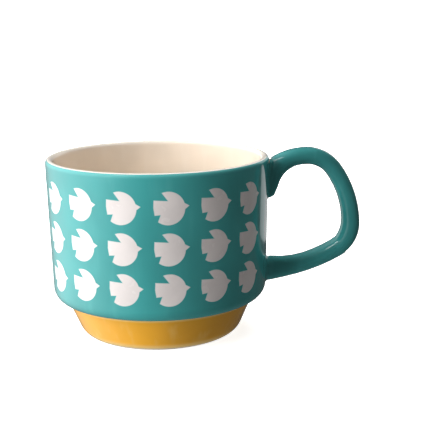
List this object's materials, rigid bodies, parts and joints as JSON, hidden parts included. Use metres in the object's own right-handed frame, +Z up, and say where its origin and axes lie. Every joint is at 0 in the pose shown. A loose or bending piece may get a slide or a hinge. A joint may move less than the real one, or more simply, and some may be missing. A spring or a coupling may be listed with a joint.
{
  "type": "mug",
  "caption": "Stackable glazed stoneware cup with a stepped foot, rows of pale bird motifs and a looped side handle",
  "frame": {"origin": "centre of the foot's underside, where the mug's axis meets the table", "axes": "+Z up along the mug's axis, +X from the axis out through the handle, +Y to the left of the handle seen from above"},
  "size_m": [0.128, 0.09, 0.0751],
  "materials": {
    "stoneware_clay": "bare fired stoneware, seen only at the foot ring and in the recess under the cup",
    "handle_clay": "fired stoneware under the glaze",
    "joint_slip": "clay slip bead smoothed round each handle root, glazed over in teal",
    "cream_glaze": "glossy cream liner glaze, wrapped over the lip",
    "teal_glaze": "glossy teal glaze with slight pooling",
    "handle_teal_glaze": "glossy teal glaze, thinner on the crests",
    "yellow_glaze": "glossy yellow glaze",
    "white_glaze": "glossy white glaze in the bird windows"
  },
  "bodies": {
    "root": {"mug_body": "stoneware_clay", "handle": "handle_clay", "upper_joint": "joint_slip", "lower_joint": "joint_slip", "liner_glaze": "cream_glaze", "wall_glaze": "teal_glaze", "handle_glaze": "handle_teal_glaze", "foot_glaze": "yellow_glaze", "birds_upper_row": "white_glaze", "birds_middle_row": "white_glaze", "birds_lower_row": "white_glaze"}
  },
  "joints": []
}
